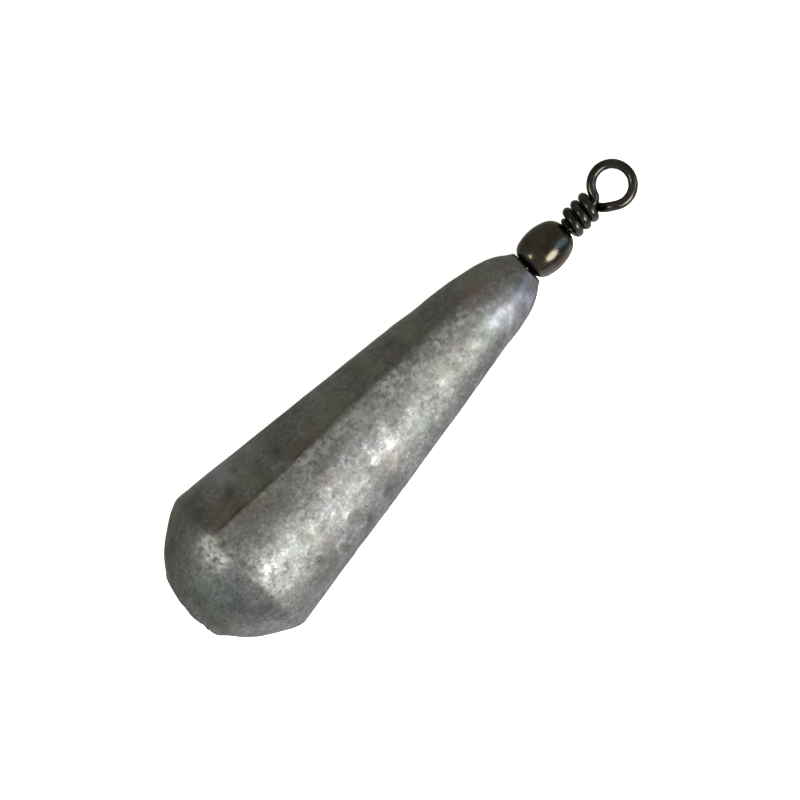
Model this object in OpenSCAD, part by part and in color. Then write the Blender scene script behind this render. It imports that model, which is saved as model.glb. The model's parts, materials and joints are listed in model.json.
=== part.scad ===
// Cast lead fishing sinker on a barrel swivel, lying on one of its four bulged faces.
// Each piece is drawn upright about its own axis, bottom at zero, and laid down at the end.
// While upright, +X is the side that the photograph looks at and +Y is its right.

/* [Lead casting] */
// Height of the flat tip above the lowest point of the casting
lead_len = 52.2; // [46:0.1:56]
// Height of the sharp edge where the faces meet the domed end
edge_h = 8; // [6.5:0.1:9.5]
// From the axis to the middle of a face, at that edge
face_reach = 9.3; // [8.6:0.05:10]
// Radius of a face's bulge from corner to corner, at that edge
face_round = 13.65; // [11.5:0.05:18]
// How deep the narrow flat that the sinker lies on cuts into the face underneath
rest_flat = 0.13; // [0.1:0.01:0.25]
// Slope of the faces, which draw in towards the nose
taper_turn = 7.46; // [6.5:0.02:8]
// How far the two corners in the bottoms of the mould halves are cut back
soft_cut = 0.34; // [0.15:0.01:0.6]
// Radius of those two corners
soft_round = 10.8; // [10:0.1:14]

/* [Domed end] */
// Radius of the dome
dome_round = 9.11; // [8.8:0.01:9.3]
// Slope of the band between the dome and the sharp edge
shoulder_turn = 32; // [28:0.5:34]
// Radius with which each face turns in below the sharp edge
face_end_round = 16.3; // [14:0.1:22]
// Slope of the face just below the sharp edge
face_end_turn = 15; // [8:0.5:18]

/* [Nose] */
// Radius of the nose's outline
nose_round = 9.5; // [9:0.1:10.5]
// Radius of the flat tip that the wire comes out of
tip_r = 2; // [1.9:0.05:2.6]
// Slope of the nose's outline at the tip
tip_turn = 41.5; // [36:0.5:44]
// Slope of the nose's outline where it runs out into the faces
skirt_turn = 14; // [12:0.5:17]

/* [Marks of the mould] */
// How far the fin on the mould's parting line stands out of the corners
fin_out = 0.12; // [0.06:0.01:0.25]
// Thickness of the fin
fin_w = 0.3; // [0.2:0.01:0.5]
// How far below the tip the fin runs out on the nose
fin_drop = 8.3; // [7:0.1:14]
// Azimuth of the corner that carries the fin, with the second one opposite
fin_turn = -22; // [-30:1:-10]
// Height of the cut where the gate was nipped off, on the axis
gate_h = 0.13; // [0.05:0.01:0.4]
// Slope of that cut
gate_turn = 11.4; // [8:0.1:12]
// From the axis to the burr that the nippers left on the dome
burr_y = 2.55; // [1.5:0.05:3.5]
// Radius of that burr
burr_r = 0.3; // [0.2:0.01:0.45]

/* [Swivel eyes] */
// Diameter of the wire
wire_d = 1.08; // [0.9:0.01:1.15]
// Mean radius of the ring
ring_r = 2.28; // [2.1:0.01:2.5]
// From the middle of the barrel to the middle of the ring
ring_h = 9.9; // [9.8:0.01:10.3]
// Radius of the bend from the stem into the ring
bend_r = 0.87; // [0.75:0.01:1]
// Gap between the wound tail and the stem
wrap_gap = 0.11; // [0.08:0.01:0.2]
// Gap between one turn of the tail and the next
turn_gap = 0.08; // [0.07:0.01:0.15]
// Turns that the upper eye's tail makes round its stem
wrap_turns = 3; // [2.4:0.05:3]
// How many turns fewer the eye in the lead has, where the tip leaves less room for them
fewer_turns = 0.3; // [0.25:0.05:0.5]
// From the middle of the ring down to where the tail closes on the stem
wrap_drop = 2.97; // [2.9:0.01:3]
// Angle below the ring's middle at which the tail leaves the ring
tail_turn = 30; // [25:1:40]
// Radius of the head that holds the eye in the barrel
head_r = 1.25; // [1.1:0.01:1.4]
// Length of the straight part of the head
head_len = 0.75; // [0.5:0.01:0.9]

/* [Swivel barrel] */
// Length of the barrel
barrel_len = 5.97; // [5.8:0.01:6.1]
// Largest diameter of the barrel
barrel_d = 5.24; // [5:0.01:5.6]
// How far below its middle the barrel is widest
belly_drop = 0.32; // [0:0.01:0.4]
// Radius of the barrel's side along its length
side_round = 5.3; // [5:0.05:7]
// Radius of the barrel's shoulder at the casting
low_shoulder_round = 1.5; // [1.3:0.01:1.7]
// Radius of the barrel's shoulder at the line eye
high_shoulder_round = 2; // [1.5:0.01:2.1]
// Wall round the middle of the barrel
barrel_wall = 0.5; // [0.4:0.01:0.7]
// Play all round each stem in the barrel's end, and under each head
swivel_fit = 0.06; // [0.03:0.01:0.09]

/* [Fit of the pieces] */
// From the tip of the casting to the middle of the barrel
barrel_rise = 3.24; // [3.2:0.02:3.6]
// Slope at which the swivel was cast in, towards +Y
swivel_turn = 2.46; // [0:0.02:4]
// How far below the tip the swivel's axis crosses the casting's axis
cross_drop = 6.8; // [2:0.2:10]
// Gap that the lead keeps round the eye that is cast into it
cast_gap = 0.02; // [0.01:0.01:0.04]

/* [Hidden] */
$fn = 96;
// Overrun of every cut, and of every form past what it shapes
over = lead_len / 5;
lead_colour = "#8f9092";
wire_colour = "#4a4436";
barrel_colour = "#5a5240";

// Faces of the casting: four cones with upright axes, each set back past the axis from its face
face_back = face_round - face_reach;
function face_at(h) = face_round - (h - edge_h) * tan(taper_turn);
function corner_at(h) = sqrt(pow(face_at(h), 2) - pow(face_back, 2) / 2) - face_back / sqrt(2);
soft_reach = corner_at(edge_h) - soft_cut;
rest_reach = face_reach - rest_flat;

// Dome and band of the casting, with the lowest point of the dome at zero
dome_h = dome_round;
band_r = dome_round * cos(shoulder_turn);
band_h = dome_h - dome_round * sin(shoulder_turn);
band_len = (corner_at(edge_h) + over - band_r) / sin(shoulder_turn);

// Nose of the casting, about the swivel's own axis
nose_in = nose_round * cos(tip_turn) - tip_r;
nose_h = lead_len - nose_round * sin(tip_turn);
// The skirt starts just inside the nose's outline, so that the two cross cleanly
skirt_share = 0.9995;
skirt_r = skirt_share * (nose_round * cos(skirt_turn) - nose_in);
skirt_h = nose_h + nose_round * sin(skirt_turn);

// The fin stands in the casting by this much, and fades in and out over the ramp
fin_top_h = lead_len - fin_drop;
fin_root = face_reach / 12;
fin_low_h = edge_h * 1.08;
fin_ramp = fin_out * 12;

// The burr stands half out of the dome
burr_h = dome_h - sqrt(pow(dome_round, 2) - pow(burr_y, 2));

// Bend and ring of an eye, in the plane of the ring, with the stem on the line x = 0
wire_r = wire_d / 2;
bend_drop = sqrt(pow(ring_r, 2) + 2 * ring_r * bend_r);
bend_h = ring_h - bend_drop;
join_turn = atan2(bend_drop, bend_r);
ring_sweep = 180 + join_turn + tail_turn;

// Bent and wound stretches of the wire are tubes of flat faces, just inside the round wire so
// that each starts and ends cleanly within a round stretch
tube_sides = 8;
tube_share = 0.98;
bend_steps = 8;
end_turn = 12;
turn_steps = 24;
lead_in_steps = 8;
tail_steps = round(turn_steps * wrap_turns);
wrap_r = wire_d + wrap_gap;
pitch = wire_d + turn_gap;
wrap_top_h = ring_h - wrap_drop;

// Where the swivel sits on the casting
barrel_h = lead_len + barrel_rise;
cross_h = lead_len - cross_drop;

// Inside of the barrel, and the head that bears on its cone
hole_r = wire_r + swivel_fit;
cavity_r = barrel_d / 2 - barrel_wall - low_shoulder_round / 4;
end_wall = barrel_wall;
cone_top_h = barrel_len / 2 - end_wall;
cone_low_h = cone_top_h - (cavity_r - hole_r);
head_gap = swivel_fit * sqrt(2);
head_top_h = cone_top_h - head_gap - (wire_r - hole_r);
head_low_h = head_top_h - (head_r - wire_r);

// Side and shoulders of the barrel, which meet smoothly: heights from its widest place, for the
// end at the line eye, 1, and the end at the casting, -1
side_in = side_round - barrel_d / 2;
function shoulder_h(end, r) = barrel_len / 2 + end * belly_drop - r;
function meet_turn(end, r) = asin(shoulder_h(end, r) / (side_round - r));
function meet_h(end, r) = side_round * sin(meet_turn(end, r));
function shoulder_r(end, r) = (side_round - r) * cos(meet_turn(end, r)) - side_in;
low_meet_h = meet_h(-1, low_shoulder_round);
high_meet_h = meet_h(1, high_shoulder_round);

// The sinker lies on the face that is opposite the one past the fin's corner. Along the floor it
// then reaches from the dome to the far side of the upper ring.
top_turn = fin_turn + 45;
ring_out = barrel_h + ring_h - cross_h;
low_x = dome_h * cos(taper_turn) - dome_round;
ring_x = (cross_h + ring_out * cos(swivel_turn)) * cos(taper_turn)
    + ring_out * sin(swivel_turn) * sin(taper_turn) * sin(top_turn);
ring_lean = sin(taper_turn) * cos(top_turn);
high_x = ring_x + ring_r * sqrt(1 - pow(ring_lean, 2)) + wire_r;
rest_x = (low_x + high_x) / 2;

// Distance between two points
function gap(a, b) = norm(a - b);

// A point of the ring's wire, by its angle in the plane of the ring
function ring_point(angle) = [0, ring_r * cos(angle), ring_h + ring_r * sin(angle)];

// A point of the tail's helix, by the turns made since the tail closed on the stem
function helix_point(turns) = [
    wrap_r * cos(180 + 360 * turns),
    wrap_r * sin(180 + 360 * turns),
    wrap_top_h - pitch * turns
];

// The tail leaves the ring along its wire and comes round behind the stem on one smooth curve
tail_reach = gap(ring_point(-tail_turn), helix_point(0));
leave_way = tail_reach * [0, -sin(tail_turn), -cos(tail_turn)];
close_way = tail_reach * [0, -1, -pitch / (2 * PI * wrap_r)];
function lead_in_point(t) =
    ring_point(-tail_turn) * (2 * pow(t, 3) - 3 * pow(t, 2) + 1)
    + leave_way * (pow(t, 3) - 2 * pow(t, 2) + t)
    + helix_point(0) * (3 * pow(t, 2) - 2 * pow(t, 3))
    + close_way * (pow(t, 3) - pow(t, 2));

// The tail starts inside the end of the ring, so that the two are one wire
tail_path = concat(
    [ring_point(end_turn - tail_turn)],
    [for (i = [0:lead_in_steps - 1]) lead_in_point(i / lead_in_steps)],
    [for (i = [0:tail_steps]) helix_point(i / turn_steps)]
);

// Direction along a path at one of its points, and one square to it that turns with the path
function unit(v) = v / norm(v);
function along(path, i) = unit(path[min(i + 1, len(path) - 1)] - path[max(i - 1, 0)]);
function square_to(v, way) = unit(v - way * (v * way));

// Corners of a tube round one point of its path, from the side that faces out
function tube_ring(point, way, out, r) = [
    for (k = [0:tube_sides - 1])
        point
        + r * tube_share * cos(360 * k / tube_sides) * square_to(out, way)
        + r * tube_share * sin(360 * k / tube_sides) * cross(way, square_to(out, way))
];

// The bend: out of the top of the stem, round, and into the start of the ring
bend_path = concat(
    [[0, 0, bend_h - wire_r / 2]],
    [
        for (i = [0:bend_steps])
            let (angle = join_turn * i / bend_steps)
            [0, bend_r * (cos(angle) - 1), bend_h + bend_r * sin(angle)]
    ],
    [ring_point(180 + join_turn - end_turn)]
);

// Least gap of the wound wire to itself and to its stem, from the points of its middle line
stem_path = [for (i = [0:turn_steps]) [0, 0, bend_h * i / turn_steps]];
ring_start = [for (i = [0:turn_steps]) ring_point(180 + join_turn - 60 * i / turn_steps)];
helix_path = [for (i = [0:tail_steps]) helix_point(i / turn_steps)];
turn_gaps = [
    for (i = [0:tail_steps])
        for (j = [i + turn_steps / 2:tail_steps])
            gap(helix_path[i], helix_path[j])
];
stem_gaps = [
    for (a = tail_path)
        for (b = concat(stem_path, bend_path, ring_start))
            gap(a, b)
];
echo(least_gap_between_turns = min(turn_gaps) - wire_d);
echo(least_gap_to_stem_and_ring = min(stem_gaps) - wire_d);

// Puts a swivel piece, drawn about the middle of the barrel, on the swivel's axis
module on_swivel() {
    translate([0, 0, cross_h])
        rotate([-swivel_turn, 0, 0])
            translate([0, 0, barrel_h - cross_h])
                children();
}

// Lays the upright sinker down on its bottom face, with the middle of its length over the origin
module lying_down() {
    translate([-rest_x, 0, rest_reach * cos(taper_turn) + edge_h * sin(taper_turn)])
        rotate([0, taper_turn, 0])
            rotate([180, 0, 0])
                rotate([0, 90, 0])
                    rotate([0, 0, -top_turn])
                        children();
}

// One face: a cone about its own axis, whose wall on the +X side is the face. Below the sharp
// edge the wall turns in.
module face_form() {
    low = -over;
    high = lead_len + over;
    translate([-face_back, 0])
        rotate_extrude()
            intersection() {
                polygon([[0, low], [face_at(low), low], [face_at(high), high], [0, high]]);
                union() {
                    translate([0, edge_h]) square([face_at(low), high]);
                    translate([
                        face_round - face_end_round * cos(face_end_turn),
                        edge_h + face_end_round * sin(face_end_turn)
                    ])
                        circle(face_end_round);
                }
            }
}

// Everything behind the flat along the middle of the face on the +X side
module rest_form() {
    reach = lead_len + over;
    translate([rest_reach, 0, edge_h])
        rotate([0, -taper_turn, 0])
            translate([-2 * reach, -reach, -reach])
                cube(2 * reach);
}

// A cone that takes a little off the corner on the +X side
module corner_form() {
    low = -over;
    high = lead_len + over;
    translate([soft_reach - soft_round, 0, low])
        cylinder(
            r1 = soft_round + (edge_h - low) * tan(taper_turn),
            r2 = soft_round + (edge_h - high) * tan(taper_turn),
            h = high - low
        );
}

// Dome at the end, and the sloping band that runs out past the corners
module dome_form() {
    rotate_extrude()
        union() {
            intersection() {
                translate([0, dome_h]) circle(dome_round);
                translate([0, band_h - 2 * dome_round]) square(2 * dome_round);
            }
            polygon([
                [0, band_h - band_r / 2],
                [band_r / 2, band_h - band_r / 2],
                [band_r, band_h],
                [band_r + band_len * sin(shoulder_turn), band_h + band_len * cos(shoulder_turn)],
                [band_r + band_len * sin(shoulder_turn), lead_len + over],
                [0, lead_len + over]
            ]);
        }
}

// Nose, which runs down past the faces as a flaring skirt
module nose_form() {
    rotate_extrude()
        union() {
            intersection() {
                translate([-nose_in, nose_h]) circle(nose_round);
                translate([0, nose_h]) square([nose_round, lead_len - nose_h]);
            }
            polygon([
                [0, -over],
                [skirt_r + (skirt_h + over) * tan(skirt_turn), -over],
                [skirt_r, skirt_h],
                [0, skirt_h]
            ]);
        }
}

// Thin fin along one corner, on the mould's parting line
module fin() {
    rotate([90, 0, 0])
        linear_extrude(fin_w, center = true)
            polygon([
                [corner_at(fin_low_h) - fin_root, fin_low_h],
                [corner_at(fin_low_h), fin_low_h],
                [corner_at(fin_low_h + fin_ramp) + fin_out, fin_low_h + fin_ramp],
                [corner_at(fin_top_h - fin_ramp) + fin_out, fin_top_h - fin_ramp],
                [corner_at(fin_top_h), fin_top_h],
                [corner_at(fin_top_h) - fin_root, fin_top_h]
            ]);
}

// The whole casting before the wire is sunk into it
module casting() {
    intersection() {
        dome_form();
        on_swivel() translate([0, 0, -barrel_h]) nose_form();
        intersection_for(i = [0:3])
            rotate([0, 0, fin_turn + 45 + 90 * i])
                face_form();
        rotate([0, 0, top_turn + 180]) rest_form();
        intersection_for(i = [0:1])
            rotate([0, 0, fin_turn + 90 + 180 * i])
                corner_form();
    }
    for (i = [0:1])
        rotate([0, 0, fin_turn + 180 * i]) fin();
}

// Everything below the cut of the gate
module gate_cut() {
    translate([0, 0, gate_h])
        rotate([-gate_turn, 0, 0])
            translate([-dome_round, -dome_round, -2 * dome_round])
                cube(2 * dome_round);
}

// A tube of flat faces along a path, with the sides of it that face out given point by point
module tube(path, outs, r) {
    count = len(path);
    points = [for (i = [0:count - 1]) each tube_ring(path[i], along(path, i), outs[i], r)];
    walls = [
        for (i = [0:count - 2])
            for (k = [0:tube_sides - 1])
                let (
                    a = i * tube_sides + k,
                    b = i * tube_sides + (k + 1) % tube_sides
                )
                each [[a, a + tube_sides, b], [b, a + tube_sides, b + tube_sides]]
    ];
    start = [for (k = [1:tube_sides - 2]) [0, k, k + 1]];
    base = (count - 1) * tube_sides;
    end = [for (k = [1:tube_sides - 2]) [base, base + k + 1, base + k]];
    polyhedron(points, concat(start, walls, end));
}

// Ring of an eye as a stretch of round wire, and the bend that leads into it
module ring_and_bend(r) {
    translate([0, 0, ring_h])
        rotate([90, 0, 90])
            rotate([0, 0, -tail_turn])
                rotate_extrude(angle = ring_sweep)
                    translate([ring_r, 0])
                        circle(r);
    tube(bend_path, [for (point = bend_path) [1, 0, 0]], r);
}

// The first steps of the tail
module tail(steps, r) {
    path = [for (i = [0:steps]) tail_path[i]];
    tube(path, [for (point = path) [point.x, point.y, 0]], r);
}

// One wire: head in the barrel, stem, bend, ring, and the tail wound back down the stem
module eye(turns) {
    rotate_extrude()
        polygon([
            [0, head_low_h - head_len],
            [head_r, head_low_h - head_len],
            [head_r, head_low_h],
            [wire_r, head_top_h],
            [wire_r, bend_h],
            [0, bend_h]
        ]);
    ring_and_bend(wire_r);
    tail(lead_in_steps + 1 + round(turn_steps * turns), wire_r);
}

// Room in the lead for the lower eye: its ring and bend, the start of its tail, and a plain
// well round the winding
module eye_pocket() {
    wire = wire_r + cast_gap;
    ring_and_bend(wire);
    tail(lead_in_steps + turn_steps / 2, wire);
    translate([0, 0, barrel_len / 2])
        cylinder(r = wrap_r + wire, h = wrap_top_h - barrel_len / 2);
}

module lead_body() {
    color(lead_colour)
        lying_down() {
            difference() {
                casting();
                gate_cut();
                on_swivel() rotate([180, 0, 0]) eye_pocket();
            }
            translate([0, burr_y, burr_h]) sphere(burr_r);
        }
}

module lower_eye() {
    color(wire_colour)
        lying_down()
            on_swivel()
                rotate([180, 0, 0])
                    eye(wrap_turns - fewer_turns);
}

// Outline of one of the barrel's shoulders
module barrel_shoulder(end, r) {
    intersection() {
        translate([shoulder_r(end, r), end * shoulder_h(end, r) - belly_drop]) circle(r);
        translate([0, -barrel_len]) square(2 * barrel_len);
    }
}

module swivel_barrel() {
    color(barrel_colour)
        lying_down()
            on_swivel()
                rotate_extrude()
                    difference() {
                        union() {
                            intersection() {
                                translate([-side_in, -belly_drop]) circle(side_round);
                                translate([0, -belly_drop - low_meet_h])
                                    square([side_round, low_meet_h + high_meet_h]);
                            }
                            barrel_shoulder(-1, low_shoulder_round);
                            barrel_shoulder(1, high_shoulder_round);
                            translate([0, -barrel_len / 2])
                                square([shoulder_r(-1, low_shoulder_round), barrel_len / 2]);
                        }
                        polygon([
                            [0, -cone_top_h],
                            [hole_r, -cone_top_h],
                            [cavity_r, -cone_low_h],
                            [cavity_r, cone_low_h],
                            [hole_r, cone_top_h],
                            [0, cone_top_h]
                        ]);
                        translate([0, -barrel_len]) square([hole_r, 2 * barrel_len]);
                    }
}

module upper_eye() {
    color(wire_colour)
        lying_down()
            on_swivel()
                eye(wrap_turns);
}

lead_body();
lower_eye();
swivel_barrel();
upper_eye();
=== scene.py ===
# A cast lead fishing sinker with a barrel swivel, lying on a pale table.
# Sizes in the dictionaries are millimetres and degrees unless a note says otherwise.
import json
import math

import bmesh
import bpy
from mathutils import Matrix, Vector, noise


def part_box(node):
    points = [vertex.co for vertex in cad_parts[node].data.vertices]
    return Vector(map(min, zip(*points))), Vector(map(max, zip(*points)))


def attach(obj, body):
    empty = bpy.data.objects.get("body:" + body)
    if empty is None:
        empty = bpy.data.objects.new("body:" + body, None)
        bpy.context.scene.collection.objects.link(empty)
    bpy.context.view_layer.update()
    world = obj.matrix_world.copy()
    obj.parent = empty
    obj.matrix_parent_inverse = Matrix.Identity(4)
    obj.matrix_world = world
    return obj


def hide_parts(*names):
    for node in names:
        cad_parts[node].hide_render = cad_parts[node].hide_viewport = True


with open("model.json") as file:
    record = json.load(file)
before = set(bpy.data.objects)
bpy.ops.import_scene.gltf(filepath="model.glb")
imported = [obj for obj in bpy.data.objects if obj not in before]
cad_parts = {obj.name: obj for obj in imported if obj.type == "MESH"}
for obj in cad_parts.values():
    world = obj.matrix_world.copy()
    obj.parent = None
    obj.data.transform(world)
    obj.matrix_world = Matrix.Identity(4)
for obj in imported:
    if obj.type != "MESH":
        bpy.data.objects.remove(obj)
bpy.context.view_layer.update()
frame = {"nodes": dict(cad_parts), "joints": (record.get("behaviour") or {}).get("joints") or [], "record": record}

mm = 0.001


# How the pieces lie

casting = {
    "length": 52.2,  # from the lowest point of the dome to the flat tip
    "lean": 2.46,  # between the axes of the casting and the swivel
    "crossing": 10.04,  # from the barrel's middle down to where the axes cross
    "crossingHeight": 45.4,  # from the dome up to there
    "edgeHeight": 8.0,  # sharp edge between the faces and the domed end
    "faceReach": 9.3,  # from the axis to the middle of a face, at that edge
    "faceRound": 13.65,  # radius of a face's bulge, at that edge
    "taper": 7.46,
}

barrelSpin = next(joint for joint in frame["joints"] if joint["name"] == "barrel_spin")
lineEye = next(mount for mount in frame["record"]["mounts"] if mount["name"] == "line_eye")
barrelMiddle = Vector(barrelSpin["pos_m"])
swivelAxis = Vector(barrelSpin["axis"]).normalized()
eyeNormal = Vector(lineEye["axis"]).normalized()


def frameFrom(origin, xWay, zWay):
    turn = Matrix((xWay, zWay.cross(xWay), zWay)).transposed()
    return Matrix.Translation(origin) @ turn.to_4x4()


# Origin in the barrel's middle, Z out towards the line eye, X to the photograph's side
swivelFrame = frameFrom(barrelMiddle, eyeNormal, swivelAxis)
# Origin at the lowest point of the dome, Z along the casting to its tip
castingFrame = (
    swivelFrame
    @ Matrix.Translation((0, 0, -casting["crossing"] * mm))
    @ Matrix.Rotation(math.radians(casting["lean"]), 4, "X")
    @ Matrix.Translation((0, 0, -casting["crossingHeight"] * mm))
)


# Adds a finished piece, which rides a body and takes the place of its node
def addPiece(name, mesh, place, body, node, material):
    mesh.transform(place)
    piece = bpy.data.objects.new(name, mesh)
    bpy.context.scene.collection.objects.link(piece)
    mesh.polygons.foreach_set("use_smooth", [True] * len(mesh.polygons))
    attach(piece, body)
    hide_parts(node)
    mesh.materials.clear()
    mesh.materials.append(material)
    return piece


# Adds the faces between two rings of points
def joinRings(work, low, high):
    for k in range(len(low)):
        after = (k + 1) % len(low)
        work.faces.new((low[k], low[after], high[after], high[k]))


# Adds one ring of points for each reach and height of an outline
def addRings(work, outline, sides, place):
    turns = [2 * math.pi * k / sides for k in range(sides)]
    rings = []
    for reach, height in outline:
        points = [Vector((reach * math.cos(a), reach * math.sin(a), height)) * mm for a in turns]
        rings.append([work.verts.new(place @ point) for point in points])
    return rings


# Adds a turned solid, whose outline is a closed row
def addLathe(work, outline, sides, place):
    rings = addRings(work, outline, sides, place)
    for low, high in zip(rings, rings[1:] + rings[:1]):
        joinRings(work, low, high)


# Material helpers

def hexColour(code):
    channels = [int(code[i:i + 2], 16) / 255 for i in (1, 3, 5)]
    linear = [c / 12.92 if c <= 0.04045 else ((c + 0.055) / 1.055) ** 2.4 for c in channels]
    return (*linear, 1.0)


def addNode(tree, kind, inputs=None, **settings):
    node = tree.nodes.new(kind)
    for name, value in settings.items():
        setattr(node, name, value)
    for socket, value in (inputs or {}).items():
        if isinstance(value, bpy.types.NodeSocket):
            tree.links.new(value, node.inputs[socket])
        else:
            node.inputs[socket].default_value = value
    return node


def newMaterial(name):
    material = bpy.data.materials.new(name)
    material.use_nodes = True
    material.node_tree.nodes.clear()
    return material, material.node_tree


def perSize(size):
    return 1 / (size * mm)


# Lays a colour over another: none of it where the pattern is at start, and its most at full
def layOver(tree, under, over, pattern, start, full, most):
    share = addNode(
        tree, "ShaderNodeMapRange",
        {"Value": pattern, "From Min": start, "From Max": full, "To Max": most},
        interpolation_type="SMOOTHSTEP",
    ).outputs["Result"]
    mix = addNode(tree, "ShaderNodeMix", {"Factor": share, 6: under, 7: over}, data_type="RGBA")
    return mix.outputs[2]


usualNoise = (0.3, 0.7)  # between these lies nearly all of a noise pattern


# Ends a bare metal's material: its gloss follows one pattern, and its fine relief another
def finishMetal(tree, colour, gloss, relief, finish):
    roughness = addNode(
        tree, "ShaderNodeMapRange",
        {
            "Value": gloss, "From Min": usualNoise[0], "From Max": usualNoise[1],
            "To Min": finish["roughness"][0], "To Max": finish["roughness"][1],
        },
    ).outputs["Result"]
    bump = addNode(
        tree, "ShaderNodeBump",
        {"Height": relief, "Strength": finish["relief"], "Distance": finish["reliefDepth"] * mm},
    ).outputs["Normal"]
    shader = addNode(
        tree, "ShaderNodeBsdfPrincipled",
        {"Base Color": colour, "Metallic": 1.0, "Roughness": roughness, "Normal": bump},
    ).outputs["BSDF"]
    addNode(tree, "ShaderNodeOutputMaterial", {"Surface": shader})


# Cast lead

castLead = {
    "weld": 0.0001,
    "voxel": 0.17,
    "roundRounds": 30,  # passes that rub every edge round
    "noseRounds": 240,  # further passes where the nose runs into the faces
    "lastRounds": 2,
    "burrSpan": (0.2, 1.2),  # heights between which the rounding starts, above the gate's burr
    "tipSpan": (-0.6, 0.3),  # about the tip, between which it gets weaker
    "tipLoss": 0.6,  # share by which it does
    "noseSpan": (34.0, 42.0, 48.0, 50.5),  # heights of the nose's extra rounding
    "insideShare": 0.75,  # of the face's reach, inside which nothing is skin
    "tipHeight": 50.0,
    "insideTip": 2.05,  # the same limit above tipHeight, from the axis
    "tipDepth": 0.5,  # all of the tip down to here is skin
    "finer": 2.0,  # by which each octave of the next three is finer than the last
    # Waves, dents and grain of the skin: size, depth, place in the noise, fading, octaves
    "wave": (9.0, 0.08, (0, 0, 0), 1.0, 2),
    "dent": (2.4, 0.035, (7, 3, 1), 0.9, 3),
    "grain": (0.8, 0.012, (2, 9, 4), 0.8, 2),
    "fill": 0.04,  # makes up for what the rounding takes off
    "noseFill": 0.2,  # the nose is fuller on the right
    "noseFillUp": (43.0, 48.5),
    "noseFillAcross": (0.0, 2.5),
}

# Rings that gas bubbles left under the skin
blisters = {
    # Side of the casting, across, up, radius
    "places": (
        (1, 5.9, 20.1, 1.05), (1, 6.3, 14.3, 0.8), (1, 7.1, 17.0, 0.7),
        (-1, -3.8, 16.4, 0.9), (-1, 4.6, 26.5, 0.7), (-1, 1.2, 11.0, 1.1),
    ),
    "ringWidth": 0.17,
    "ringHeight": 0.02,
    "hollowShare": 0.6,  # of the radius
    "ringRubbed": 0.2,
    "dirtShare": 0.7,  # of the radius
    "grimeAndShade": 0.15,
}

# Bright spots, rubbed wear on side -1 and painted highlights on side 1, and faintly stained ones: side of the
# casting, across, up, radius
spots = {
    # On side 1 the bright spots are painted highlights: the bright patch on the dome, one above the edge to the
    # dome, and two in the highlight down the right face
    "rubbedAndHighlight": (
        (1, -4.1, 6.9, 0.6), (1, -2.7, 7.0, 0.9), (1, -1.2, 7.2, 0.9),
        (1, 2.8, 10.0, 0.7), (1, 2.9, 28.3, 0.4), (1, 3.0, 25.8, 0.35),
        (-1, 2.0, 7.0, 1.4), (-1, 3.4, 6.4, 0.9), (-1, -4.0, 13.0, 1.0),
    ),
    "cool": (
        (1, 0.8, 51.9, 0.7), (1, 2.1, 50.0, 1.3), (1, 2.0, 46.5, 1.4),
        (1, -8.4, 13.7, 2.0), (-1, 2.0, 30.0, 4.0),
    ),
    "brown": (
        (1, -1.6, 50.0, 0.9), (1, -2.2, 46.8, 1.5), (1, -0.6, 45.2, 0.9),
        (1, -4.6, 10.6, 1.6), (-1, -2.0, 12.0, 4.0),
    ),
    "green": (
        (1, -4.7, 32.4, 1.2), (1, -3.1, 47.4, 1.0), (1, -5.2, 15.3, 1.9),
        (1, -5.5, 19.4, 1.1), (1, -0.3, 3.8, 1.3), (1, -3.6, 7.2, 1.0),
        (1, -4.2, 26.5, 1.4), (1, -4.4, 38.5, 1.5), (-1, 3.0, 18.0, 3.0),
    ),
    "dark": (
        (1, -6.7, 8.8, 1.1), (1, -5.5, 19.6, 1.0), (1, -7.2, 24.0, 1.4), (1, -5.2, 30.8, 1.3),
        (1, -4.4, 36.2, 1.0), (1, -5.9, 12.6, 0.9), (1, 6.7, 20.8, 1.4), (1, 6.4, 14.6, 1.2),
        (1, 6.3, 25.0, 1.2), (1, -6.6, 3.6, 1.6), (1, 3.2, 4.6, 1.3),
        (-1, 1.0, 22.0, 2.0), (-1, -4.0, 34.0, 1.6),
    ),
}

# How strong the spots are: evenly, by the dents and by the grain. A share of the way up under 1
# draws them taller than wide.
spotStrength = {
    "rubbedAndHighlight": {"even": 0.85, "byDent": 1.1, "byGrain": 0.5, "upShare": 0.7},
    "stained": {"even": 0.65, "byDent": 0.9, "byGrain": 0.0, "upShare": 1.0},
}

# The mould's parting line, down two corners: a sharp step low down, rubbed round above
partingLine = {
    "turn": -22.0,  # azimuth of the corner
    "cornerShare": 0.8,  # of the corner's reach, where the line's band starts
    "byDent": 0.16,  # how far dents and waves bend the line
    "byWave": 0.12,
    "step": 0.045,  # by which one half of the mould stood proud of the other
    "stepWidth": 0.2,
    "stepReach": 1.6,
    "stepUp": (8.1, 10.1, 16.6, 26.6),  # heights over which it starts and ends
    "cut": 0.05,  # how far the corner is rubbed down
    "cutWidth": 1.1,
    "cutUp": (8.6, 28.6),
    "bandUp": (11.6, 22.6, 44.0, 47.0),
    # Marks beside it: kind, which heights, how far off, width; evenly, by the dents, by the grain
    "marks": (
        ("dirtAndShade", "stepUp", -0.12, 0.2, 0.6, 0.6, 0.0),
        ("dirtAndShade", "stepUp", -1.2, 1.1, 0.18, 0.36, 0.0),
        # Left of the line, on its shaded side, a brown tint and a band of painted shade; right of it a band of
        # painted highlight; together they make the change from shade to light crisp
        ("brown", "bandUp", -0.9, 0.9, 0.44, 0.495, 0.0),
        ("dark", "bandUp", -0.45, 0.4, 0.4, 0.45, 0.0),
        ("rubbedAndHighlight", "bandUp", 0.9, 0.9, 0.24, 0.33, 0.24),
    ),
}

# A dirty crease along the foot of the face right of the parting line
crease = {
    "up": 0.5,  # above the edge between the faces and the domed end
    "byDent": 0.5,
    "byWave": 0.4,
    "width": 0.42,
    "depth": 0.07,
    "across": (-3.5, -2.3, 0.8, 3.4),  # over which it starts and ends
    "grimeAndShade": 0.85,
    "dirtyDents": (-0.6, 0.1),
}

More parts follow.
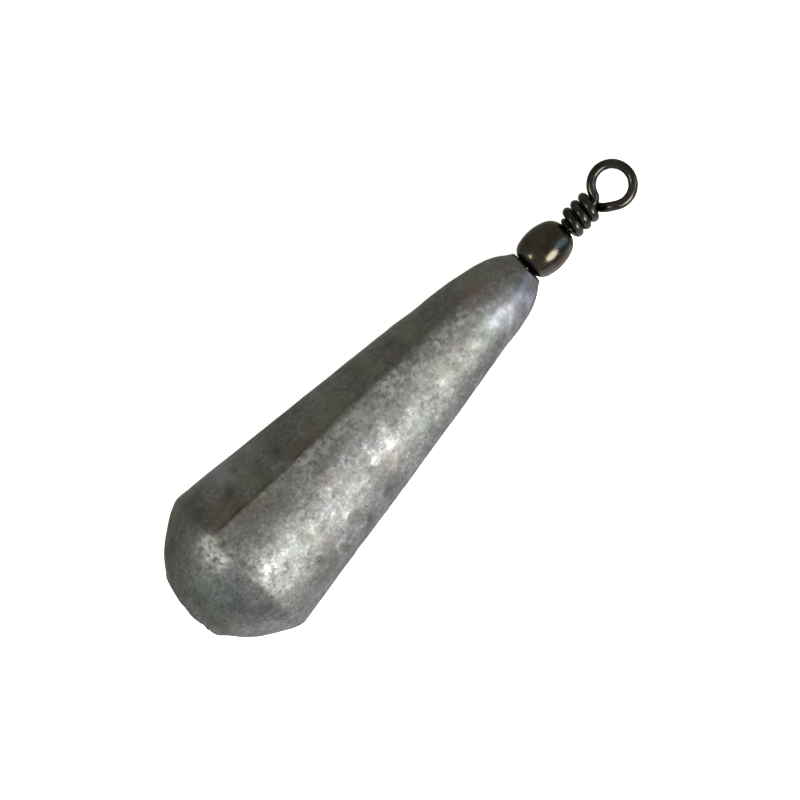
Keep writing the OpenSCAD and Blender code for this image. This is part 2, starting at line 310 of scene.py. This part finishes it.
# Lead that crept up the stem, as far as the barrel's end
collar = {
    # Reach, and height from the barrel's middle
    "outline": (
        (0.57, -4.4), (2.3, -4.2), (2.22, -3.6), (2.08, -3.25), (1.95, -3.0),
        (1.78, -2.87), (1.6, -2.95), (1.3, -3.08), (0.57, -3.1),
    ),
    "sides": 48,
    # The collar's darkening is painted shade between the casting and the barrel: over all of the collar, and
    # deeper on the side under the barrel's shadow
    "shadeUp": (-0.05, 0.2),  # about the casting's tip
    "grimeAndShade": 0.3,
    "barrelShade": 0.7,  # more where the barrel shades it
    "shadeAcross": (-0.4, 0.5, 1.4, 1.9),
}


def eased(value, low, high):
    share = min(max((value - low) / (high - low), 0.0), 1.0)
    return share * share * (3 - 2 * share)


# Rises over the first two values of a span, and falls over the last two
def within(value, span):
    return eased(value, *span[:2]) * (1 - eased(value, *span[2:]))


def drop(off, width):
    return math.exp(-(off / width) ** 2)


# How far a face has come in since the edge at the domed end
def faceIn(height):
    return (height - casting["edgeHeight"]) * math.tan(math.radians(casting["taper"]))


def cornerReach(height):
    back = casting["faceRound"] - casting["faceReach"]
    radius = casting["faceRound"] - faceIn(height)
    return math.sqrt(radius ** 2 - back ** 2 / 2) - back / math.sqrt(2)


# Tells the skin from the walls of the pocket round the lower eye
def onSkin(point):
    if point.z < casting["edgeHeight"] or point.z > casting["length"] - castLead["tipDepth"]:
        return True
    inside = castLead["insideShare"] * (casting["faceReach"] - faceIn(point.z))
    if point.z >= castLead["tipHeight"]:
        inside = castLead["insideTip"]
    return math.hypot(point.x, point.y) > inside


# Each of the next three adds to the marks at a point, and returns how far its skin moves out
def markSpots(point, uneven, marks):
    shift = 0.0
    side = 1 if point.x > 0 else -1
    for kind, places in spots.items():
        strength = spotStrength["rubbedAndHighlight" if kind == "rubbedAndHighlight" else "stained"]
        share = strength["even"] + strength["byDent"] * uneven["dent"]
        share += strength["byGrain"] * uneven["grain"]
        for where, across, up, radius in places:
            if where == side:
                off = math.hypot(point.y - across, strength["upShare"] * (point.z - up))
                marks[kind] += drop(off, radius) * share
    for where, across, up, radius in blisters["places"]:
        if where == side:
            off = math.hypot(point.y - across, point.z - up)
            ring = drop(off - radius, blisters["ringWidth"])
            shift += blisters["ringHeight"] * (ring - drop(off, blisters["hollowShare"] * radius))
            marks["rubbedAndHighlight"] += blisters["ringRubbed"] * ring
            marks["dirtAndShade"] += blisters["grimeAndShade"] * drop(off, blisters["dirtShare"] * radius)
    return shift


def markPartingLine(point, uneven, marks):
    turn = math.radians(partingLine["turn"])
    along = point.x * math.cos(turn) + point.y * math.sin(turn)
    if abs(along) <= partingLine["cornerShare"] * cornerReach(min(point.z, casting["length"])):
        return 0.0
    off = (point.y * math.cos(turn) - point.x * math.sin(turn)) * (1 if along > 0 else -1)
    off += partingLine["byDent"] * uneven["dent"] + partingLine["byWave"] * uneven["wave"]
    width = partingLine["stepWidth"]
    low = (1 - eased(off, -width, width)) * within(point.z, partingLine["stepUp"])
    for kind, heights, middle, width, even, byDent, byGrain in partingLine["marks"]:
        share = even + byDent * uneven["dent"] + byGrain * uneven["grain"]
        marks[kind] += within(point.z, partingLine[heights]) * drop(off - middle, width) * share
    cut = partingLine["cut"] * eased(point.z, *partingLine["cutUp"]) * drop(off, partingLine["cutWidth"])
    return -partingLine["step"] * low * drop(off, partingLine["stepReach"]) - cut


def markCrease(point, uneven, marks):
    off = point.z - casting["edgeHeight"] - crease["up"]
    off -= crease["byDent"] * uneven["dent"] + crease["byWave"] * uneven["wave"]
    share = drop(off, crease["width"] * (1 + uneven["dent"]))
    share *= within(point.y * (1 if point.x > 0 else -1), crease["across"])
    marks["dirtAndShade"] += crease["grimeAndShade"] * share * eased(uneven["dent"], *crease["dirtyDents"])
    return -crease["depth"] * share


# Returns how far the skin moves out, and how marked it is there
def leadSkin(point):
    marks = dict.fromkeys(("dirtAndShade", *spots), 0.0)
    uneven = {}
    shift = castLead["fill"]
    shift += (
        castLead["noseFill"] * eased(point.z, *castLead["noseFillUp"])
        * eased(point.y, *castLead["noseFillAcross"])
    )
    for name in ("wave", "dent", "grain"):
        size, depth, start, fading, octaves = castLead[name]
        uneven[name] = noise.fractal(point / size + Vector(start), fading, castLead["finer"], octaves)
        shift += depth * uneven[name]
    for mark in (markSpots, markPartingLine, markCrease):
        shift += mark(point, uneven, marks)
    # Painted shade on the collar between the casting and the barrel, deeper on the side the barrel shades
    shaded = collar["grimeAndShade"] + collar["barrelShade"] * within(point.y, collar["shadeAcross"])
    marks["dirtAndShade"] += shaded * eased(point.z - casting["length"], *collar["shadeUp"])
    return shift, {kind: min(max(share, 0.0), 1.0) for kind, share in marks.items()}


# How much the edges are rubbed round: less at the tip, and not at the gate's burr
def roundShare(point):
    if not onSkin(point):
        return 0.0
    atTip = eased(point.z - casting["length"], *castLead["tipSpan"])
    return eased(point.z, *castLead["burrSpan"]) * (1 - castLead["tipLoss"] * atTip)


def noseShare(point):
    return within(point.z, castLead["noseSpan"]) if onSkin(point) else 0.0


# The mesh as its modifiers leave it; each group's share is worked out from a point
def afterModifiers(mesh, modifiers, groups=None):
    work = bpy.data.objects.new("work", mesh)
    bpy.context.scene.collection.objects.link(work)
    for name, share in (groups or {}).items():
        group = work.vertex_groups.new(name=name)
        for vertex in mesh.vertices:
            weight = share(vertex.co / mm)
            if weight > 0:
                group.add([vertex.index], weight, "REPLACE")
    for name, (kind, settings) in modifiers.items():
        modifier = work.modifiers.new(name, kind)
        for key, value in settings.items():
            setattr(modifier, key, value)
    done = bpy.data.meshes.new_from_object(work.evaluated_get(bpy.context.evaluated_depsgraph_get()))
    bpy.data.objects.remove(work)
    return done


def makeCastLead():
    mesh = frame["nodes"]["lead_body"].data.copy()
    mesh.transform(castingFrame.inverted())
    work = bmesh.new()
    work.from_mesh(mesh)
    bmesh.ops.remove_doubles(work, verts=work.verts, dist=castLead["weld"] * mm)
    addLathe(work, collar["outline"], collar["sides"], castingFrame.inverted() @ swivelFrame)
    work.to_mesh(mesh)
    work.free()
    remesh = {"mode": "VOXEL", "voxel_size": castLead["voxel"] * mm}
    fine = afterModifiers(mesh, {"skin": ("REMESH", remesh)})
    fine = afterModifiers(fine, {
        "round": ("SMOOTH", {"iterations": castLead["roundRounds"], "vertex_group": "round"}),
        "nose": ("SMOOTH", {"iterations": castLead["noseRounds"], "vertex_group": "nose"}),
        "last": ("SMOOTH", {"iterations": castLead["lastRounds"]}),
    }, {"round": roundShare, "nose": noseShare})
    fine.name = "castLead"
    ways = [vertex.normal.copy() for vertex in fine.vertices]
    for name in ("dirtAndShade", *spots):
        fine.attributes.new(name, "FLOAT", "POINT")
    for vertex, way in zip(fine.vertices, ways):
        point = vertex.co / mm
        if onSkin(point):
            shift, marks = leadSkin(point)
            for name, share in marks.items():
                fine.attributes[name].data[vertex.index].value = share
            vertex.co += way * shift * mm
    print("cast lead:", len(fine.vertices), "points")
    return fine


leadFinish = {
    "colours": {
        "oxide": "#747674",
        "skin": "#949596",
        "pale": "#aaabaa",
        # Pale for rubbed wear, and for the painted highlights
        "rubbedAndHighlight": "#d3d4d2",
        "dark": "#5d5e5b",
        "brown": "#87766d",
        "green": "#7d8675",
        "cool": "#a3a4b3",
        # Dark for dirt, and for the painted shade on the collar under the barrel
        "grimeAndShade": "#4a4238",
    },
    # Size, detail, roughness
    "noises": {
        "cloud": (6.5, 4.0, 0.6),
        "tint": (4.0, 3.0, 0.5),
        "mottle": (1.6, 5.0, 0.68),
        "bend": (0.9, 3.0, 0.6),
        "grain": (0.55, 3.0, 0.6),
    },
    "bendReach": 0.9,  # how far the outlines of the scales and specks are bent
    "scaleSize": 0.55,  # scales where the skin froze, drawn coarser than they are so that they show
    "speckSpace": 0.85,
    # From the bottom: colour, pattern, where it starts, where it is full, its most
    "layers": (
        ("skin", "cloud", 0.35, 0.65, 1.0),
        ("pale", "mottle", 0.48, 0.85, 1.0),
        ("dark", "mottle", 0.47, 0.25, 1.0),
        ("dark", "scales", 0.28, 0.0, 0.45),
        ("dark", "grain", 0.56, 0.32, 0.38),
        ("rubbedAndHighlight", "grain", 0.5, 0.75, 0.16),
        ("brown", "brownTint", 0.45, 0.75, 0.3),
        ("green", "greenTint", 0.45, 0.75, 0.3),
        ("dark", "specks", 0.27, 0.12, 0.75),
    ),
    # Then the mesh's marks, each broken up by a pattern, and the dirt and painted shade on top of all
    "marks": (
        ("brown", "mottle", 0.25, 0.6),
        ("green", "mottle", 0.25, 0.6),
        ("cool", "mottle", 0.25, 0.6),
        ("dark", "mottle", 0.25, 0.6),
        ("rubbedAndHighlight", "grain", 0.3, 0.62),
    ),
    "roughness": (0.57, 0.47),  # from dark mottles to pale ones
    "mottleRelief": 2.5,  # times the grain's
    "relief": 0.25,
    "reliefDepth": 0.05,
}


# Lead poured into a two-part mould and dulled by handling: a dark grey metal whose oxide skin
# gives a broad satin sheen, with lighter rubbed patches, some of them painted highlights, cloudy mottling, dirt in
# the seam and painted shade where the lead meets the barrel.
def gravityCastLead():
    material, tree = newMaterial("gravityCastLead")
    place = addNode(tree, "ShaderNodeTexCoord").outputs["Object"]
    noises = {
        name: addNode(tree, "ShaderNodeTexNoise", {
            "Vector": place, "Scale": perSize(size), "Detail": detail, "Roughness": roughness,
        })
        for name, (size, detail, roughness) in leadFinish["noises"].items()
    }
    tints = addNode(tree, "ShaderNodeSeparateColor", {"Color": noises["tint"].outputs["Color"]})
    bent = addNode(
        tree, "ShaderNodeVectorMath",
        {0: noises["bend"].outputs["Color"], 1: [leadFinish["bendReach"] * mm] * 3, 2: place},
        operation="MULTIPLY_ADD",
    ).outputs[0]
    scales = addNode(
        tree, "ShaderNodeTexVoronoi", {"Vector": bent, "Scale": perSize(leadFinish["scaleSize"])},
        feature="DISTANCE_TO_EDGE",
    )
    specks = addNode(
        tree, "ShaderNodeTexVoronoi", {"Vector": bent, "Scale": perSize(leadFinish["speckSpace"])},
    )
    patterns = {
        "cloud": noises["cloud"].outputs["Fac"],
        "mottle": noises["mottle"].outputs["Fac"],
        "grain": noises["grain"].outputs["Fac"],
        "brownTint": tints.outputs["Red"],
        "greenTint": tints.outputs["Green"],
        "scales": scales.outputs["Distance"],
        "specks": specks.outputs["Distance"],
    }
    shades = {name: hexColour(code) for name, code in leadFinish["colours"].items()}
    colour = shades["oxide"]
    for shade, pattern, start, full, most in leadFinish["layers"]:
        colour = layOver(tree, colour, shades[shade], patterns[pattern], start, full, most)
    for name, pattern, start, full in leadFinish["marks"]:
        mark = addNode(tree, "ShaderNodeAttribute", attribute_name=name).outputs["Fac"]
        colour = layOver(tree, colour, shades[name], patterns[pattern], start, full, mark)
    # Dirt, and painted shade on the collar under the barrel
    dirtAndShade = addNode(tree, "ShaderNodeAttribute", attribute_name="dirtAndShade").outputs["Fac"]
    colour = addNode(
        tree, "ShaderNodeMix", {"Factor": dirtAndShade, 6: colour, 7: shades["grimeAndShade"]}, data_type="RGBA",
    ).outputs[2]
    relief = addNode(
        tree, "ShaderNodeMath",
        {0: patterns["mottle"], 1: leadFinish["mottleRelief"], 2: patterns["grain"]},
        operation="MULTIPLY_ADD",
    ).outputs[0]
    finishMetal(tree, colour, patterns["mottle"], relief, leadFinish)
    return material


lead = addPiece(
    "castLead", makeCastLead(), castingFrame, "sinker", "lead_body", gravityCastLead(),
)
# Its skin stays within the bare casting's own box
lowest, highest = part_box("lead_body")
for vertex in lead.data.vertices:
    vertex.co = [min(max(value, low), high) for value, low, high in zip(vertex.co, lowest, highest)]


# Swivel eyes

eye = {
    "wire": 1.08,
    "bendRadius": 0.87,
    "wrapGap": 0.11,  # between the stem and the winding
    "turnGap": 0.08,
    "upperTurns": 3.0,
    "lowerTurns": 2.7,
    "wrapDrop": 2.97,  # from the ring's middle down to where the tail closes on the stem
    "tailTurn": 30.0,  # below the ring's middle, where the tail leaves the ring
    "headRadius": 1.25,
    "headEdge": ((0.0, 0.1), (0.03, 0.03), (0.1, 0.0)),  # its rounded edge: up, in
    "headLow": 1.0,
    "headShoulder": 1.75,
    "headHigh": 2.46,
    "endEdge": (0.55, 0.85),  # rounded edge of the nipped end, in shares of its radius
    "endStep": 0.05,
    "sides": 24,
    # Points along the stem, its bend, the ring, the way in to the winding, and each turn
    "stemSteps": 20,
    "bendSteps": 16,
    "ringSteps": 72,
    "wayInSteps": 14,
    "turnSteps": 40,
}

# The last of the upper eye's tail, drawn out thin where it was nipped
thinTail = {
    "wire": 0.44,
    "turns": 0.8,
    "height": 3.22,  # from the barrel's middle
    "gap": 0.05,  # to the stem
    "steps": 32,
    # Shares of its length in which it gets thin, closes on the stem and sinks to its height
    "thinIn": 0.32,
    "closeIn": 0.12,
    "sinkIn": 0.6,
}


def eyePath(turns):
    ringHeight = (Vector(lineEye["pos_m"]) - barrelMiddle).length / mm
    ringRadius = lineEye["dims"]["r_mm"] + eye["wire"] / 2
    bendRadius = eye["bendRadius"]
    bendDrop = math.sqrt(ringRadius ** 2 + 2 * ringRadius * bendRadius)
    bendHeight = ringHeight - bendDrop
    joinTurn = math.atan2(bendDrop, bendRadius)
    tailTurn = math.radians(eye["tailTurn"])
    wrapRadius = eye["wire"] + eye["wrapGap"]
    pitch = eye["wire"] + eye["turnGap"]
    wrapTop = ringHeight - eye["wrapDrop"]

    def ringPoint(angle):
        return Vector((0, ringRadius * math.cos(angle), ringHeight + ringRadius * math.sin(angle)))

    def helixPoint(turn):
        angle = math.pi + 2 * math.pi * turn
        return Vector((wrapRadius * math.cos(angle), wrapRadius * math.sin(angle), wrapTop - pitch * turn))

    points = []
    for i in range(eye["stemSteps"]):
        share = i / eye["stemSteps"]
        points.append(Vector((0, 0, eye["headHigh"] + (bendHeight - eye["headHigh"]) * share)))
    for i in range(eye["bendSteps"]):
        angle = joinTurn * i / eye["bendSteps"]
        across = bendRadius * (math.cos(angle) - 1)
        points.append(Vector((0, across, bendHeight + bendRadius * math.sin(angle))))
    sweep = math.pi + joinTurn + tailTurn
    for i in range(eye["ringSteps"]):
        points.append(ringPoint(math.pi + joinTurn - sweep * i / eye["ringSteps"]))
    # A smooth curve from the ring to the winding, which keeps the directions of both
    leave, close = ringPoint(-tailTurn), helixPoint(0)
    reach = (close - leave).length
    leaveWay = reach * Vector((0, -math.sin(tailTurn), -math.cos(tailTurn)))
    closeWay = reach * Vector((0, -1, -pitch / (2 * math.pi * wrapRadius)))
    for i in range(eye["wayInSteps"]):
        t = i / eye["wayInSteps"]
        points.append(
            leave * (2 * t ** 3 - 3 * t ** 2 + 1) + leaveWay * (t ** 3 - 2 * t ** 2 + t)
            + close * (3 * t ** 2 - 2 * t ** 3) + closeWay * (t ** 3 - t ** 2)
        )
    for i in range(round(eye["turnSteps"] * turns) + 1):
        points.append(helixPoint(i / eye["turnSteps"]))
    return points


def addThinTail(path, radii):
    last, wireRadius = path[-1], eye["wire"] / 2
    turn, height, out = math.atan2(last.y, last.x), last.z, math.hypot(last.x, last.y)
    for i in range(1, thinTail["steps"] + 1):
        share = i / thinTail["steps"]
        radius = wireRadius + (thinTail["wire"] / 2 - wireRadius) * eased(share, 0, thinTail["thinIn"])
        close = min(out, wireRadius + radius + thinTail["gap"])
        reach = out + (close - out) * min(share / thinTail["closeIn"], 1.0)
        angle = turn + 2 * math.pi * thinTail["turns"] * share
        up = height + (thinTail["height"] - height) * eased(share, 0, thinTail["sinkIn"])
        path.append(Vector((reach * math.cos(angle), reach * math.sin(angle), up)))
        radii.append(radius)


def sweptWire(name, path, radii, sides):
    work = bmesh.new()
    ways = [
        (path[min(i + 1, len(path) - 1)] - path[max(i - 1, 0)]).normalized()
        for i in range(len(path))
    ]
    across = Vector((1, 0, 0))
    rings = []
    for point, way, radius in zip(path, ways, radii):
        across = (across - way * across.dot(way)).normalized()
        beside = way.cross(across)
        rings.append([
            work.verts.new((point + radius * (math.cos(a) * across + math.sin(a) * beside)) * mm)
            for a in (2 * math.pi * k / sides for k in range(sides))
        ])
    for low, high in zip(rings, rings[1:]):
        joinRings(work, low, high)
    work.faces.new(reversed(rings[0]))
    work.faces.new(rings[-1])
    mesh = bpy.data.meshes.new(name)
    work.to_mesh(mesh)
    work.free()
    return mesh


def makeEye(name, turns, thin):
    path = [Vector((0, 0, eye["headLow"] + up)) for up, inwards in eye["headEdge"]]
    radii = [eye["headRadius"] - inwards for up, inwards in eye["headEdge"]]
    path.append(Vector((0, 0, eye["headShoulder"])))
    radii.append(eye["headRadius"])
    stem = eyePath(turns)
    path += stem
    radii += [eye["wire"] / 2] * len(stem)
    if thin:
        addThinTail(path, radii)
    end = radii[-1]
    for share in eye["endEdge"]:
        path.append(path[-1] + (path[-1] - path[-2]).normalized() * eye["endStep"])
        radii.append(end * math.sqrt(1 - share ** 2))
    return sweptWire(name, path, radii, eye["sides"])


wireFinish = {
    "plate": "#3d3c37",
    "worn": "#56514a",
    "dark": "#2d2c28",
    "patchSize": 1.6,
    "patchDetail": 3.0,
    "patchRoughness": 0.6,
    "wornPatches": (0.42, 0.7),
    "darkPatches": (0.45, 0.3),
    "scuffSize": 0.3,
    "scuffDetail": 3.0,
    "roughness": (0.12, 0.29),
    "relief": 0.3,
    "reliefDepth": 0.02,
}


# Brass wire with a black-nickel plate: near-black gloss, brown where the plate is thin.
def blackNickelWire():
    material, tree = newMaterial("blackNickelWire")
    place = addNode(tree, "ShaderNodeTexCoord").outputs["Object"]
    patches = addNode(tree, "ShaderNodeTexNoise", {
        "Vector": place, "Scale": perSize(wireFinish["patchSize"]),
        "Detail": wireFinish["patchDetail"], "Roughness": wireFinish["patchRoughness"],
    }).outputs["Fac"]
    colour = hexColour(wireFinish["plate"])
    for shade, span in (("worn", "wornPatches"), ("dark", "darkPatches")):
        colour = layOver(tree, colour, hexColour(wireFinish[shade]), patches, *wireFinish[span], 1.0)
    scuffs = addNode(tree, "ShaderNodeTexNoise", {
        "Vector": place, "Scale": perSize(wireFinish["scuffSize"]), "Detail": wireFinish["scuffDetail"],
    }).outputs["Fac"]
    finishMetal(tree, colour, scuffs, scuffs, wireFinish)
    return material


platedWire = blackNickelWire()
upperEye = addPiece(
    "lineEyeWire", makeEye("lineEyeWire", eye["upperTurns"], True), swivelFrame,
    "eye", "upper_eye", platedWire,
)
lowerEye = addPiece(
    "castInEyeWire", makeEye("castInEyeWire", eye["lowerTurns"], False),
    swivelFrame @ Matrix.Rotation(math.pi, 4, "X"),
    "sinker", "lower_eye", platedWire,
)
print("swivel eyes:", len(upperEye.data.vertices), "and", len(lowerEye.data.vertices), "points")


# Swivel barrel

barrel = {
    "length": 5.97,
    "diameter": 5.24,
    "bellyDrop": 0.32,  # how far below its middle it is widest
    "sideRound": 5.3,
    "lowShoulder": 1.5,
    "highShoulder": 2.0,
    "wall": 0.5,  # at its ends
    "cavityRadius": 1.745,
    "holeRadius": 0.6,
    "lipRound": 0.1,
    "sides": 96,
    "sideSteps": 12,
    "shoulderSteps": 16,
    "lipSteps": 4,
}


# Half of the outline, from the widest place to the end at the line eye, 1, or at the casting, -1
def halfProfile(end, shoulder):
    half, sideRound = barrel["length"] / 2, barrel["sideRound"]
    sideIn = sideRound - barrel["diameter"] / 2
    shoulderHeight = half + end * barrel["bellyDrop"] - shoulder
    meetTurn = math.asin(shoulderHeight / (sideRound - shoulder))
    shoulderReach = (sideRound - shoulder) * math.cos(meetTurn) - sideIn
    outline = []
    for i in range(barrel["sideSteps"] + 1):
        angle = meetTurn * i / barrel["sideSteps"]
        outline.append((sideRound * math.cos(angle) - sideIn, sideRound * math.sin(angle)))
    for i in range(1, barrel["shoulderSteps"] + 1):
        angle = meetTurn + (math.pi / 2 - meetTurn) * i / barrel["shoulderSteps"]
        reach = shoulderReach + shoulder * math.cos(angle)
        outline.append((reach, shoulderHeight + shoulder * math.sin(angle)))
    outline = [(r, end * h - barrel["bellyDrop"]) for r, h in outline]
    lip, hole = barrel["lipRound"], barrel["holeRadius"]
    for i in range(barrel["lipSteps"] + 1):
        angle = math.pi / 2 * i / barrel["lipSteps"]
        reach = hole + lip - lip * math.sin(angle)
        outline.append((reach, end * (half - lip + lip * math.cos(angle))))
    # The cone that a head bears on
    cavity, coneTop = barrel["cavityRadius"], half - barrel["wall"]
    return outline + [(hole, end * coneTop), (cavity, end * (coneTop - (cavity - hole)))]


def barrelProfile():
    return halfProfile(-1, barrel["lowShoulder"])[:0:-1] + halfProfile(1, barrel["highShoulder"])


barrelFinish = {
    "plate": "#514f44",
    "brown": "#473c34",
    "teal": "#344846",
    # Teal patches: the three high on the front paint a teal reflection, and one sits low at the back: turn round
    # the barrel, height, radius
    "tealReflectionAndPatch": ((20.0, 1.3, 0.6), (30.0, 1.6, 0.6), (42.0, 1.9, 0.6), (200.0, -0.6, 0.9)),
    "tealReach": 2.5,  # of those places from the axis
    "tealShare": 0.6,
    "patchSize": 2.6,
    "patchDetail": 3.0,
    "patchRoughness": 0.55,
    "brownPatches": (0.45, 0.62),
    "scuffSize": 0.4,
    "scuffDetail": 4.0,
    "roughness": (0.13, 0.27),
    "relief": 0.2,
    "reliefDepth": 0.02,
}


def makeBarrel():
    work = bmesh.new()
    addLathe(work, barrelProfile(), barrel["sides"], Matrix.Identity(4))
    mesh = bpy.data.meshes.new("barrelShell")
    work.to_mesh(mesh)
    work.free()
    tealReflectionAndPatch = mesh.attributes.new("tealReflectionAndPatch", "FLOAT", "POINT")
    reach = barrelFinish["tealReach"]
    for turn, height, radius in barrelFinish["tealReflectionAndPatch"]:
        angle = math.radians(turn)
        middle = Vector((reach * math.cos(angle), reach * math.sin(angle), height))
        for vertex in mesh.vertices:
            share = drop((vertex.co / mm - middle).length, radius)
            tealReflectionAndPatch.data[vertex.index].value += barrelFinish["tealShare"] * share
    return mesh


# Turned and crimped brass with a black-nickel plate: a dark mirror with an olive cast, and teal
# patches, of which those high on the front are a painted teal reflection.
def blackNickelBarrel():
    material, tree = newMaterial("blackNickelBarrel")
    place = addNode(tree, "ShaderNodeTexCoord").outputs["Object"]
    patches = addNode(tree, "ShaderNodeTexNoise", {
        "Vector": place, "Scale": perSize(barrelFinish["patchSize"]),
        "Detail": barrelFinish["patchDetail"], "Roughness": barrelFinish["patchRoughness"],
    }).outputs["Fac"]
    colour = layOver(
        tree, hexColour(barrelFinish["plate"]), hexColour(barrelFinish["brown"]),
        patches, *barrelFinish["brownPatches"], 1.0,
    )
    # Teal: high on the front a painted reflection, and one patch low at the back
    tealReflectionAndPatch = addNode(tree, "ShaderNodeAttribute", attribute_name="tealReflectionAndPatch").outputs["Fac"]
    colour = addNode(
        tree, "ShaderNodeMix", {"Factor": tealReflectionAndPatch, 6: colour, 7: hexColour(barrelFinish["teal"])},
        data_type="RGBA",
    ).outputs[2]
    scuffs = addNode(tree, "ShaderNodeTexNoise", {
        "Vector": place, "Scale": perSize(barrelFinish["scuffSize"]), "Detail": barrelFinish["scuffDetail"],
    }).outputs["Fac"]
    finishMetal(tree, colour, scuffs, scuffs, barrelFinish)
    return material


barrelShell = addPiece(
    "barrelShell", makeBarrel(), swivelFrame,
    "barrel", "swivel_barrel", blackNickelBarrel(),
)
print("swivel barrel:", len(barrelShell.data.vertices), "points")


# Table

table = {
    "flat": 500.0,  # radius of its flat middle
    "rise": 700.0,  # radius of the rim's upward sweep
    "sides": 96,
    "riseSteps": 12,
    "colour": "#f4f4f3",
    "roughness": 0.9,
    "glow": 0.9,  # lifts it to the white of the photograph's ground
}


# Matt white paper: even white without a sheen
def mattPaper():
    material, tree = newMaterial("mattPaper")
    colour = hexColour(table["colour"])
    shader = addNode(tree, "ShaderNodeBsdfPrincipled", {
        "Base Color": colour, "Roughness": table["roughness"],
        "Emission Color": colour, "Emission Strength": table["glow"],
    })
    addNode(tree, "ShaderNodeOutputMaterial", {"Surface": shader.outputs["BSDF"]})
    return material


# A round sheet, swept up at its rim so that low views see it too
def makeTable():
    outline = [(table["flat"], 0.0)]
    for i in range(1, table["riseSteps"] + 1):
        angle = math.pi / 2 * i / table["riseSteps"]
        reach = table["flat"] + table["rise"] * math.sin(angle)
        outline.append((reach, table["rise"] * (1 - math.cos(angle))))
    work = bmesh.new()
    rings = addRings(work, outline, table["sides"], Matrix.Identity(4))
    work.faces.new(rings[0])
    for low, high in zip(rings, rings[1:]):
        joinRings(work, high, low)
    mesh = bpy.data.meshes.new("table")
    work.to_mesh(mesh)
    work.free()
    mesh.polygons.foreach_set("use_smooth", [True] * len(mesh.polygons))
    mesh.materials.append(mattPaper())
    piece = bpy.data.objects.new("table", mesh)
    bpy.context.scene.collection.objects.link(piece)
    # The metal in the photograph shows no white table in its reflections
    piece.visible_glossy = False
    piece.visible_diffuse = False
    piece.visible_shadow = False


makeTable()
print("table is laid")


# Camera and light

photo = {
    "turn": 46.16,  # the casting's axis above the photograph's lower edge
    "pixel": 0.1085,  # one pixel of the photograph at the object
    "pixels": 800,
    "aimAcross": 0.44,  # from the casting's axis to the middle of the view
    "aimUp": 32.53,  # from the dome up to there
    "lens": 200.0,  # long, as the photograph shows hardly any perspective
    "sensor": 36.0,
    "nearest": 10.0,  # that the camera sees
}


def makeCamera():
    data = bpy.data.cameras.new("camera")
    data.lens = photo["lens"]
    data.sensor_width = photo["sensor"]
    data.clip_start = photo["nearest"] * mm
    distance = photo["pixel"] * photo["pixels"] * photo["lens"] / photo["sensor"]
    turn = math.radians(photo["turn"])
    right = Vector((0, math.sin(turn), math.cos(turn)))
    up = Vector((0, -math.cos(turn), math.sin(turn)))
    turned = Matrix((right, up, Vector((1, 0, 0)))).transposed().to_4x4()
    aim = Vector((distance, photo["aimAcross"], photo["aimUp"])) * mm
    camera = bpy.data.objects.new("camera", data)
    bpy.context.scene.collection.objects.link(camera)
    camera.matrix_world = castingFrame @ Matrix.Translation(aim) @ turned
    bpy.context.scene.camera = camera


# Each soft box: azimuth round the casting and angle along it, as seen from the middle of the
# sinker, then its width, length and twist as it looks from there, and its brightness
lights = {
    "keyBox": {
        "azimuth": 48.0, "along": 8.0, "width": 32.0, "length": 31.0, "twist": 0.0,
        "glow": 9.8, "colour": "#fffffb",
    },
    "coolBox": {
        "azimuth": 52.0, "along": 47.0, "width": 26.0, "length": 62.0, "twist": 45.0,
        "glow": 1.6, "colour": "#d6e0ff",
    },
    "endBox": {
        "azimuth": -29.0, "along": -34.0, "width": 21.0, "length": 16.0, "twist": 0.0,
        "glow": 9.0, "colour": "#fff7e1",
    },
    "rightWall": {
        "azimuth": 118.0, "along": -10.0, "width": 60.0, "length": 100.0, "twist": 0.0,
        "glow": 0.87, "colour": "#f3f2ff",
    },
    "footWall": {
        "azimuth": 0.0, "along": -65.0, "width": 110.0, "length": 45.0, "twist": 0.0,
        "glow": 0.33, "colour": "#bfe1ff",
    },
}
lightDistance = 350.0
room = {"glow": 0.344, "colour": "#fffef0"}


def makeLights():
    middle = castingFrame @ (Vector((0, 0, 0.5 * casting["length"])) * mm)
    turn = castingFrame.to_3x3()
    for name, box in lights.items():
        azimuth, along = math.radians(box["azimuth"]), math.radians(box["along"])
        back = turn @ Vector((
            math.cos(along) * math.cos(azimuth),
            math.cos(along) * math.sin(azimuth),
            math.sin(along),
        ))
        upWay = turn @ Vector((0, 0, 1))
        upWay = (upWay - back * upWay.dot(back)).normalized()
        data = bpy.data.lights.new(name, "AREA")
        data.shape = "ELLIPSE"
        data.size = 2 * lightDistance * mm * math.tan(math.radians(box["width"] / 2))
        data.size_y = 2 * lightDistance * mm * math.tan(math.radians(box["length"] / 2))
        # The power that makes an ellipse of this size glow as brightly as asked
        data.energy = box["glow"] * math.pi ** 2 / 4 * data.size * data.size_y
        data.color = hexColour(box["colour"])[:3]
        lamp = bpy.data.objects.new(name, data)
        bpy.context.scene.collection.objects.link(lamp)
        lamp.visible_camera = False
        turned = Matrix((upWay.cross(back), upWay, back)).transposed().to_4x4()
        turned = turned @ Matrix.Rotation(-math.radians(box["twist"]), 4, "Z")
        lamp.matrix_world = Matrix.Translation(middle + back * lightDistance * mm) @ turned


def makeRoom():
    world = bpy.data.worlds.new("room")
    world.use_nodes = True
    tree = world.node_tree
    tree.nodes.clear()
    walls = addNode(
        tree, "ShaderNodeBackground", {"Color": hexColour(room["colour"]), "Strength": room["glow"]},
    )
    addNode(tree, "ShaderNodeOutputWorld", {"Surface": walls.outputs["Background"]})
    bpy.context.scene.world = world
    bpy.context.scene.view_settings.view_transform = "Standard"


makeCamera()
makeLights()
makeRoom()
print("camera and lights are set")
